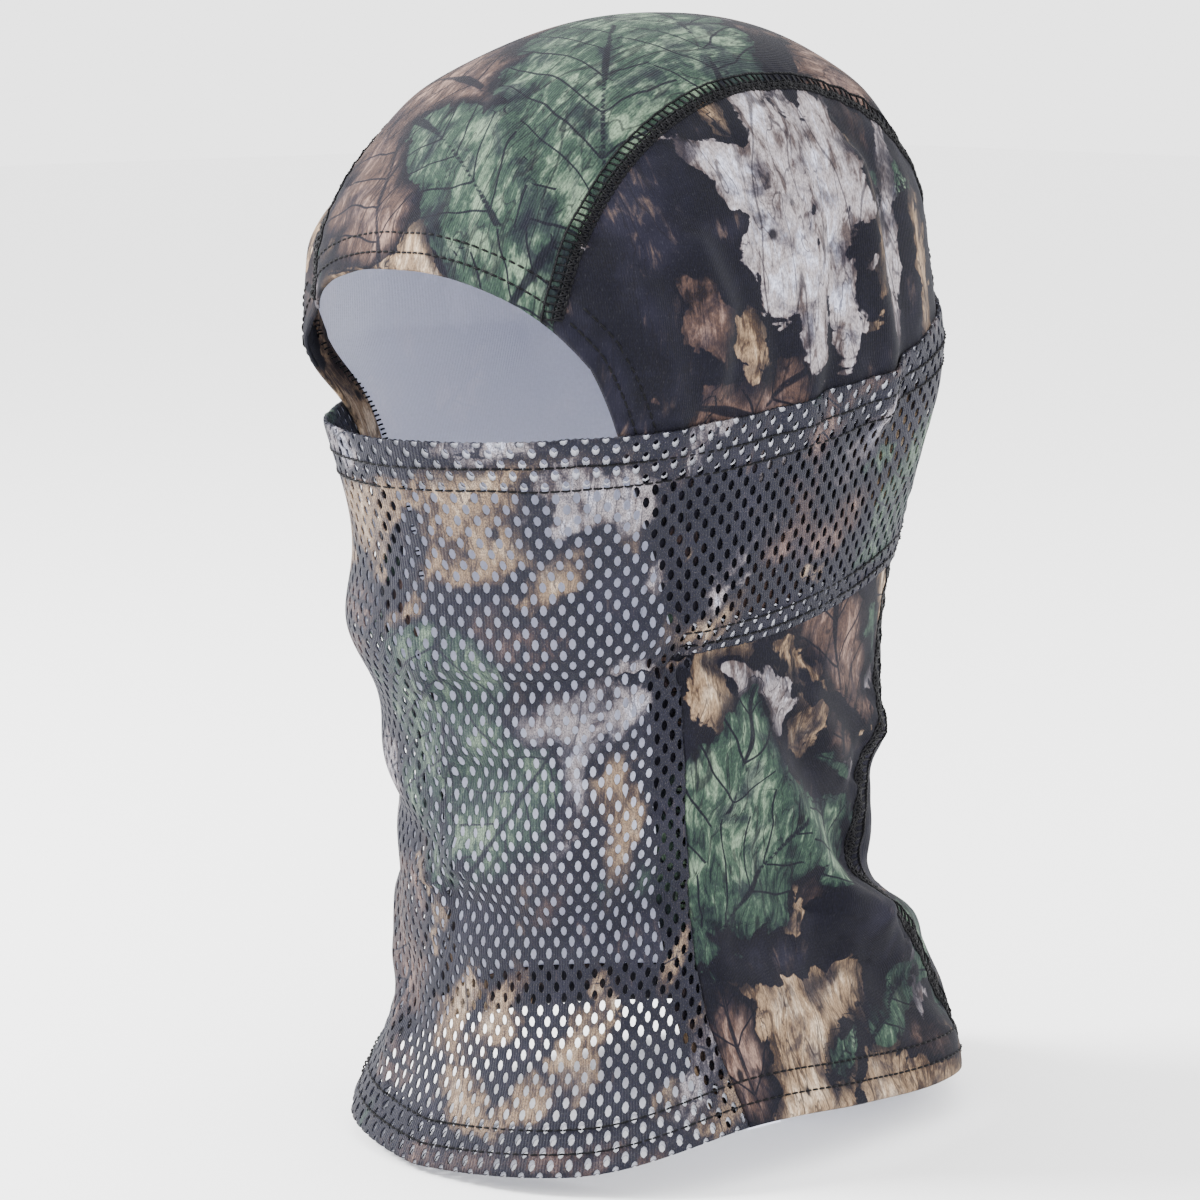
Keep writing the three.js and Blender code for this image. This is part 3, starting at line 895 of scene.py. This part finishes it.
def side_shape(hand):
    """A side panel: its outline seen from the side, filled in, then moved out to the cloth."""
    seam = left_crown_seam
    rear = seam.at[np.argmax((seam.points[:, 1] > 40) & (seam.points[:, 2] < -50))]
    beside_crown = left_opening.points[left_opening.points[:, 0] > CROWN_HALF]
    front = Track(np.concatenate([beside_crown, left_join.points]))
    corner = seam.length
    hem_bearings = (bearing_of(front.points[-1:])[0], bearing_of(seam.points[-1:])[0])

    def shape(across, along):
        width, height = SIDE_WIDTH, SIDE_HEIGHT
        from_front, lift_front = folded(across * (width + HEM) - HEM)
        from_hem, lift_hem = folded(height - along * (height + HEM))
        across, along = from_front / width, 1 - from_hem / height
        ones = np.ones_like(along)
        top = seam.place(across * rear)[:, 1:]
        back = seam.place(rear + along * (corner - rear))[:, 1:]
        fore = front.place(along * front.length)[:, 1:]
        bearing = hem_bearings[0] + (hem_bearings[1] - hem_bearings[0]) * across
        hem = cloth_at(bearing, edge(NECK_HEM, bearing))[:, 1:]
        a, b = across[:, None], along[:, None]
        corners = [seam.place(0 * ones)[:, 1:], seam.place(rear * ones)[:, 1:]]
        feet = [front.points[-1, 1:], seam.points[-1, 1:]]
        filled = (1 - b) * top + b * hem + (1 - a) * fore + a * back
        filled -= (1 - b) * ((1 - a) * corners[0] + a * corners[1])
        filled -= b * ((1 - a) * feet[0] + a * feet[1])
        points = side_cloth(filled[:, 0], filled[:, 1])
        points[:, 0] = np.maximum(points[:, 0], 1)
        points[:, 0] *= hand
        return drape(points, lift_front + lift_hem), side_flat(points, hand)

    return shape


def nose_rise(bearing, z):
    """How far the nose holds the cover out."""
    return NOSE_RISE * np.exp(-((bearing / NOSE_WIDE) ** 2) - ((z - NOSE_LEVEL) / NOSE_TALL) ** 2)


def cover_place(u, v, arms):
    """The T-shaped mesh cloth, its arms with the cover: from its flat place to its worn place."""
    bearing = u / GIRTH
    near = np.clip(np.abs(bearing), 0, math.radians(75))
    top = edge(COVER_TOP, bearing)
    scale = (edge(COVER_TOP, near) - edge(NECK_HEM, near)) / MESH_LENGTH
    low = (top - edge(COVER_LOW, bearing)) / scale
    arm = arms & (np.abs(bearing) > join_bearing(JAW))
    end = np.where(arm, low, MESH_LENGTH)
    from_top, lift_top = folded(v)
    from_end, lift_end = folded(end - v)
    down = np.where(v < end / 2, from_top, end - from_end)
    z = top - down * scale
    ease = COVER_LIFT * np.where(arm, 1, 1 - smooth((z + 190) / -28))
    past_join = (np.abs(bearing) - join_bearing(z)) * GIRTH
    tucked = -1.6 * smooth(past_join / 2 + 0.5) * np.where(z < JAW - 4, 1, 0)
    base = cloth_at(bearing, z)
    shifted = cloth_at(bearing, z, nose_rise(bearing, z))
    lift = slack(base) + ease + np.where(arm, 0, tucked) + np.where(v < end / 2, lift_top, lift_end)
    ripple = 0.35 * np.sin(u / 9 + v / 31) * np.sin(v / 12 - u / 40)
    return shifted + outward(base) * (lift + ripple)[:, None]


def declare_cut(piece):
    """Read the four corners of each face of a cloth's flat cut from its cloth UV map."""
    corners = np.empty(len(piece.data.loops) * 2)
    piece.data.uv_layers["cloth"].data.foreach_get("uv", corners)
    corners = corners.reshape(-1, 2)
    first, second, third, fourth = corners.reshape(-1, 4, 2).transpose(1, 0, 2)


def mesh_sheet(name, keep, arms):
    """Part of the mesh cloth: a slanted grid with an oval hole in each cell, cut to its flat outline."""
    bm = bmesh.new()
    bmesh.ops.create_grid(bm, x_segments=CELLS, y_segments=CELLS, size=CELLS / 2)
    quarter = math.radians(45)
    for vertex in bm.verts:
        x, y = vertex.co.x, vertex.co.y
        vertex.co.x = (x * math.cos(quarter) - y * math.sin(quarter)) * HOLE_ACROSS / math.sqrt(2)
        slanted = (x * math.sin(quarter) + y * math.cos(quarter)) * HOLE_DOWN / math.sqrt(2)
        vertex.co.y = slanted + CELLS_MIDDLE
    waste = [face for face in bm.faces if not keep(face.calc_center_median())]
    bmesh.ops.delete(bm, geom=waste, context="FACES")
    holes = list(bm.faces)
    reach = HOLE_ACROSS * HOLE_DOWN / math.hypot(HOLE_ACROSS, HOLE_DOWN) / 2
    bmesh.ops.inset_individual(bm, faces=holes, thickness=reach * HOLE_RIM)
    for hole in holes:
        middle = hole.calc_center_median()
        for vertex in hole.verts:
            vertex.co.x = middle.x + (vertex.co.x - middle.x) * HOLE_NARROW
            vertex.co.y = middle.y + (vertex.co.y - middle.y) * HOLE_TALL
    bmesh.ops.delete(bm, geom=holes, context="FACES_ONLY")
    bmesh.ops.recalc_face_normals(bm, faces=bm.faces)
    flat_mesh = bpy.data.meshes.new(name + "_flat")
    bm.to_mesh(flat_mesh)
    bm.free()
    flat_piece = add_object(name + "_flat", flat_mesh)
    rounding = flat_piece.modifiers.new("rounding", "SUBSURF")
    rounding.levels = 1
    rounding.render_levels = 1
    mesh = take_mesh(flat_piece, name)
    flat = flat_points(mesh)
    points = cover_place(flat[:, 0], flat[:, 1], arms)
    return finish_cloth(mesh, points, flat, MESH_MOTIFS, 21, MESH, MESH_THICK)


def sew(name, runs, thick=0.33):
    """Threads: every run of points is one visible length of thread."""
    line = bpy.data.curves.new(name + "_line", "CURVE")
    line.dimensions = "3D"
    line.bevel_depth = thick * MM
    line.bevel_resolution = 1
    line.use_fill_caps = True
    for run in runs:
        spline = line.splines.new("POLY")
        spline.points.add(len(run) - 1)
        spline.points.foreach_set("co", np.column_stack([run * MM, np.ones(len(run))]).ravel())
    mesh = take_mesh(add_object(name + "_line", line), name)
    mesh.materials.clear()
    mesh.materials.append(THREAD)
    mesh.shade_smooth()
    return add_object(name, mesh)


STITCH_RISE = np.array([-0.30, 0.22, 0.34, 0.22, -0.30])  # a stitch dips into the cloth at both ends


def needle_row(track, offset, pitch=3.0, start=0.0, end=None, lift=0.0, surface=None):
    """Stitches end to end along a track, offset to its side."""
    end = track.length if end is None else end
    count = int((end - start) / pitch)
    s = start + (np.arange(count)[:, None] + np.linspace(0.08, 0.92, 5)) * pitch
    return thread_points(track, s, np.full_like(s, offset), STITCH_RISE + lift, surface)


def thread_points(track, s, offset, rise, surface):
    count, points = s.shape
    base = track.beside(s.ravel(), offset.ravel())
    heights = np.broadcast_to(rise, s.shape).ravel()
    placed = drape(base, heights) if surface is None else surface(base, heights)
    return list(placed.reshape(count, points, 3))


def rungs(
    track, from_side, to_side, pitch, start=0.0, end=None, phase=0.0, slant=0.0, lift=0.0, surface=None
):
    """Threads laid across a seam."""
    end = track.length if end is None else end
    count = int((end - start) / pitch)
    share = np.linspace(0, 1, 5)
    s = start + (np.arange(count)[:, None] + 0.5 + phase + slant * (share - 0.5)) * pitch
    offset = np.broadcast_to(from_side + (to_side - from_side) * share, s.shape)
    return thread_points(track, s, offset, STITCH_RISE + 0.1 + lift, surface)


def on_cover(base, heights):
    """Thread places on the mesh cover: the same bearing and level, out on the cover's cloth."""
    bearing = bearing_of(base)
    z = base[:, 2]
    smooth_base = cloth_at(bearing, z)
    lift = slack(smooth_base) + COVER_LIFT + heights
    return cloth_at(bearing, z, nose_rise(bearing, z)) + outward(smooth_base) * lift[:, None]


# ---- the hood ------------------------------------------------------------------------------------
def build_hood():
    crown = knit_sheet("crown_cloth", 84, 470, crown_shape, CROWN_MOTIFS, 3)
    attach(crown, "hood")
    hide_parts("crown_panel")
    for hand, side in ((1, "left"), (-1, "right")):
        panel = knit_sheet(side + "_side_cloth", 116, 260, side_shape(hand), SIDE_MOTIFS, 5 + hand)
        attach(panel, "hood")
        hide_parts(side + "_side_panel")
        declare_cut(panel)


def allowance_shape(track, hand):
    """The seam allowance of a side panel: a strip that lies flat behind the neck mesh's edge."""

    def shape(along, across):
        base = track.beside(along * track.length, hand * (1 - across * (ALLOWANCE + 1)))
        return drape(base, np.full(len(along), -2 * FOLD_ROUND - KNIT_THICK - 0.3)), side_flat(base, hand)

    return shape


def build_allowances():
    for side, track, hand in (("left", left_join, 1), ("right", right_join, -1)):
        shape = allowance_shape(track, hand)
        strip = knit_sheet(side + "_join_allowance", 160, 8, shape, SIDE_MOTIFS, 5 + hand)
        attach(strip, "hood")


def build_mesh():
    """The T-shaped mesh cloth: the front and the arms of the face cover, and the stem below them."""
    split = (edge(COVER_TOP, JOIN_BEARING) - edge(COVER_LOW, JOIN_BEARING)) / MESH_FALL

    def stem_wide(v):
        z = edge(COVER_TOP, JOIN_BEARING) - MESH_FALL * v
        return join_bearing(z) * GIRTH

    def in_front(p):
        return abs(p.x) < stem_wide(split)

    def keep_front(p):
        return in_front(p) and -HEM - 1 <= p.y < split

    def keep_arms(p):
        if in_front(p) or abs(p.x) > math.pi * GIRTH - 0.3 or p.y < -HEM - 1:
            return False
        bearing = abs(p.x) / GIRTH
        hem_below = 11
        return p.y < float(edge(COVER_TOP, bearing) - edge(COVER_LOW, bearing)) / MESH_FALL + hem_below

    def keep_neck(p):
        return split <= p.y < MESH_LENGTH + HEM and abs(p.x) < stem_wide(p.y) + 6

    front = mesh_sheet("cover_front_mesh", keep_front, True)
    arms = mesh_sheet("cover_arms_mesh", keep_arms, True)
    for piece in (front, arms):
        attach(piece, "face_cover")
        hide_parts("face_mesh_cover")
    neck = mesh_sheet("neck_mesh_cloth", keep_neck, False)
    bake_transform(neck)
    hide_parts("neck_mesh_panel")
    declare_cut(front)
    declare_cut(arms)
    declare_cut(neck)


def crown_seam_runs(track, hand):
    """A cover-stitched ladder: needle rows on both sides of the seam, and threads that cross it."""
    near, far, end = LADDER * hand, -(LADDER + 0.1) * hand, track.length - 3
    runs = needle_row(track, near, COVER_STITCH, 2, end, 0.1)
    runs += needle_row(track, -far, COVER_STITCH, 3.2, end)
    runs += needle_row(track, 0.1 * hand, COVER_STITCH, 2, end)
    for offset in (-0.9, -1.9, -2.9, -3.3):
        runs += needle_row(track, offset * hand, COVER_STITCH, 2 - offset, end)
    runs += rungs(track, near, -near, COVER_STITCH, 2, end, 0.0, 0.2)
    runs += rungs(track, 0.0, far, COVER_STITCH, 2, end, 0.35, 0.7)
    runs += rungs(track, 0.0, far, COVER_STITCH, 2, end, 0.7, -0.6)
    return runs


def hem_runs(track, hand, start=0.0, inset=0.0, end=None):
    """Two needle rows along a folded hem, and the overlock on its raw edge inside."""
    last = None if end is None else end - 1
    runs = []
    for depth in HEM_ROWS:
        runs += needle_row(track, depth * hand, 3.0, start + inset, last)
    return runs + rungs(track, (HEM - 1.6) * hand, (HEM + 0.8) * hand, 1.7, start, end, 0, 0.4, -2.2)


def seam_threads():
    """Each seam's name, the CAD node it stands for, its body and its lengths of thread."""
    for side, seam, hand in (("left", left_crown_seam, 1), ("right", right_crown_seam, -1)):
        runs = crown_seam_runs(seam, hand)
        yield side + "_crown_seam_stitches", side + "_crown_seam_thread", "hood", runs

        opening = left_opening if hand > 0 else Track(mirrored(left_opening.points))
        corner = opening.at[np.argmax(np.abs(opening.points[:, 0]) > CROWN_HALF)]
        runs = hem_runs(opening, hand, corner, 2.5, opening.length)
        yield side + "_eye_hem_stitches", side + "_eye_hem_thread", "hood", runs

        join = left_join if hand > 0 else right_join
        end = join.length - JOIN_END
        runs = rungs(join, -2.6, 2.6, 1.8, 0, end, 0, 0.4, -2.6)
        runs += needle_row(join, 2.4, 2.2, 0, end, -2.4)
        yield side + "_join_stitches", side + "_join_thread", "hood", runs

    brow = Track(whole_opening.points[np.abs(whole_opening.points[:, 0]) < CROWN_HALF - 2])
    yield "brow_hem_stitches", "brow_hem_thread", "hood", hem_runs(brow, 1)

    runs = []
    for up in NECK_ROWS:
        runs += needle_row(Track(ring(NECK_HEM, up)), 0.0)
    yield "neck_hem_stitches", "neck_hem_thread", "hood", runs

    runs = []
    for down in COVER_TOP_ROWS:
        runs += needle_row(Track(ring(COVER_TOP, -down)), 0.0, surface=on_cover)
    yield "cover_top_hem_stitches", "cover_top_hem_thread", "face_cover", runs

    for side, hand in (("left", 1), ("right", -1)):
        bearing = np.linspace(join_bearing(JAW) + 0.02, math.pi - 0.04, 400)
        runs = []
        for up in COVER_LOW_ROWS:
            row = cloth_at(bearing, edge(COVER_LOW, bearing) + up)
            runs += needle_row(Track(row if hand > 0 else mirrored(row)), 0.0, surface=on_cover)
        yield side + "_cover_hem_stitches", side + "_cover_hem_thread", "face_cover", runs

    z = np.linspace(COVER_TOP[-1] - 2, COVER_LOW[-1] + 2, 60)
    back = Track(cloth_at(np.full_like(z, math.pi - 1e-4), z))
    runs = rungs(back, -2.4, 2.4, 2.2, surface=on_cover)
    for offset in (-2.4, 2.4):
        runs += needle_row(back, offset, surface=on_cover)
    yield "cover_back_seam_stitches", "cover_back_seam_thread", "face_cover", runs


def build_threads():
    for name, node, body, runs in seam_threads():
        piece = sew(name, runs)
        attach(piece, body)
        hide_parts(node)


# ---- floor, lights and camera --------------------------------------------------------------------
def build_stage():
    floor_mesh = bpy.data.meshes.new("floor")
    bm = bmesh.new()
    bmesh.ops.create_grid(bm, x_segments=1, y_segments=1, size=6)
    bmesh.ops.translate(bm, verts=bm.verts, vec=(0, 0, cad_box[0][2] - 0.002))
    bm.to_mesh(floor_mesh)
    bm.free()
    floor = add_object("floor", floor_mesh)
    paint = Nodes("pale_floor", 0.8)
    paint.shader.inputs["Base Color"].default_value = (0.93, 0.93, 0.93, 1)
    floor_mesh.materials.append(paint.material)
    floor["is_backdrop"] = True

    world = bpy.data.worlds.new("studio")
    bpy.context.scene.world = world
    world.use_nodes = True
    world.node_tree.nodes["Background"].inputs["Color"].default_value = (1, 1, 1, 1)
    world.node_tree.nodes["Background"].inputs["Strength"].default_value = 3.0

    middle = Vector((0, AXIS_Y * MM, -0.19))
    for name, place, size, power in (
        ("key", (-1.1, -1.1, 1.1), 0.6, 105),
        ("side", (1.5, -0.5, 0.3), 0.8, 12),
        ("rim", (0.6, 1.4, 0.7), 0.8, 12),
        ("inner_glow", (0, 0.02, -0.12), 0.07, 0.08),
    ):
        light = bpy.data.lights.new(name, "AREA")
        light.size = size
        light.energy = power
        lamp = add_object(name, light)
        lamp.location = middle + Vector(place)
        lamp.rotation_euler = (middle - lamp.location).to_track_quat("-Z", "Y").to_euler()
        lamp.visible_camera = False


def build_camera():
    turn, tilt, distance = math.radians(47.5), math.radians(9), 1.25
    away = Vector((math.sin(turn) * math.cos(tilt), -math.cos(turn) * math.cos(tilt), math.sin(tilt)))
    aim = Vector((0, AXIS_Y * MM, -0.195))
    data = bpy.data.cameras.new("camera")
    data.sensor_width = 36
    data.lens = 115.5
    camera = add_object("camera", data)
    camera.rotation_euler = away.to_track_quat("Z", "Y").to_euler()
    across = camera.rotation_euler.to_matrix() @ Vector((-0.009, 0.0052, 0))
    camera.location = aim + away * distance + across
    bpy.context.scene.camera = camera


build_hood()
build_allowances()
build_mesh()
build_threads()
build_stage()
build_camera()

seen_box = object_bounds()
boxes = {"cad": cad_box, "visual": seen_box}
{name: [list(map(float, corner)) for corner in box] for name, box in boxes.items()}
